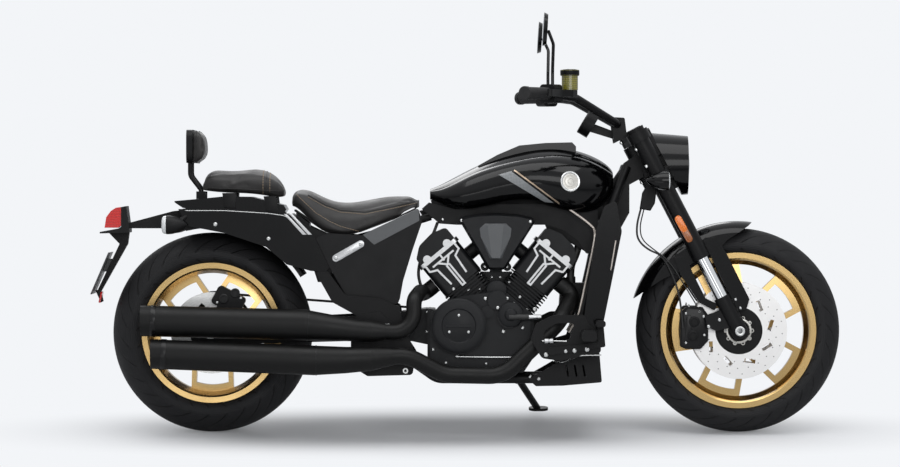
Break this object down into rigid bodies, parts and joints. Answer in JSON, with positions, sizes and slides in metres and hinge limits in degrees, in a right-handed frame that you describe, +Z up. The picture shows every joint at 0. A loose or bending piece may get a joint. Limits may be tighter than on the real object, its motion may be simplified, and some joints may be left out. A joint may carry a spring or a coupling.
{
  "type": "cruiser motorcycle",
  "caption": "Large V-twin cruiser motorcycle in black with gold cast wheels, leaning on its side stand, with stepped leather seats, backrest and stacked silencers.",
  "frame": {"origin": "centre of the bounding box's bottom face, on the ground under the parked motorcycle", "axes": "+X forwards, +Y to the rider's left, +Z up; the motorcycle leans 10 degrees to its left on its side stand"},
  "size_m": [2.349, 0.9369, 1.3576],
  "materials": {
    "tyre_rubber": "matte",
    "wheel_gold": "satin",
    "disc_steel": "satin",
    "black_satin": "satin",
    "black_gloss": "gloss",
    "black_plastic": "satin",
    "exhaust_black": "matte",
    "silver_alloy": "polished",
    "chrome": "polished",
    "engine_grey": "satin",
    "grip_rubber": "matte",
    "seat_leather": "satin",
    "belt_rubber": "matte",
    "lamp_clear": "gloss",
    "lamp_red": "gloss",
    "lamp_pale": "gloss",
    "fluid_olive": "gloss",
    "plate_white": "satin"
  },
  "bodies": {
    "frame": {"air_box": "black_plastic", "air_cleaner": "black_satin", "backrest_pad": "seat_leather", "backrest_stay": "black_satin", "belly_fairing": "black_gloss", "crankcase": "black_satin", "cylinder_heads": "black_satin", "cylinders": "engine_grey", "drive_belt": "belt_rubber", "engine_covers": "engine_grey", "exhaust_lower": "exhaust_black", "exhaust_upper": "exhaust_black", "foot_controls": "black_satin", "frame_cradle": "black_gloss", "frame_spine": "black_gloss", "fuel_tank": "black_gloss", "head_bands": "silver_alloy", "number_plate": "plate_white", "passenger_seat": "seat_leather", "pivot_plates": "black_satin", "radiator": "black_satin", "radiator_shrouds": "black_gloss", "rear_caliper": "black_satin", "rear_fender": "black_plastic", "rear_indicators": "black_gloss", "rider_seat": "seat_leather", "side_covers": "black_plastic", "subframe": "black_satin", "swingarm": "black_satin", "tail_arm": "black_plastic", "tail_cowl": "black_gloss", "tail_lamp": "lamp_red", "tail_panels": "black_gloss", "tank_console": "black_gloss", "through_bolts": "silver_alloy"},
    "steering": {"fork_outers": "black_satin", "fork_tubes": "chrome", "fork_feet": "black_satin", "front_axle": "silver_alloy", "front_calipers": "black_satin", "front_fender": "black_gloss", "headlight_shell": "black_gloss", "headlight_lens": "lamp_clear", "handlebar": "black_satin", "grips": "grip_rubber", "brake_reservoir": "fluid_olive", "mirrors": "black_gloss", "gauge": "black_satin", "front_indicators": "black_gloss"},
    "front_wheel": {"front_tyre": "tyre_rubber", "front_rim": "wheel_gold", "front_discs": "disc_steel", "disc_carriers": "black_satin"},
    "rear_wheel": {"rear_tyre": "tyre_rubber", "rear_rim": "wheel_gold", "rear_disc": "disc_steel", "rear_pulley": "black_satin"},
    "side_stand": {"side_stand": "black_satin"}
  },
  "joints": [
    {"name": "steering", "type": "hinge", "parent": "frame", "child": "steering", "pos_m": [0.58202, -0.06802, 0.77604], "axis": [-0.4602, 0.1542, 0.8743], "range_deg": [-30, 30]},
    {"name": "front_wheel_spin", "type": "hinge", "parent": "steering", "child": "front_wheel", "pos_m": [0.8545, -0.14911, 0.31614], "axis": [0, 0.9848, -0.1736], "continuous": true},
    {"name": "rear_wheel_spin", "type": "hinge", "parent": "frame", "child": "rear_wheel", "pos_m": [-0.7955, -0.1502, 0.30995], "axis": [0, 0.9848, -0.1736], "continuous": true},
    {"name": "side_stand_fold", "type": "hinge", "parent": "frame", "child": "side_stand", "pos_m": [0.1555, -0.02622, 0.14925], "axis": [0.1691, 0.677, 0.7163], "range_deg": [0, 110]}
  ]
}
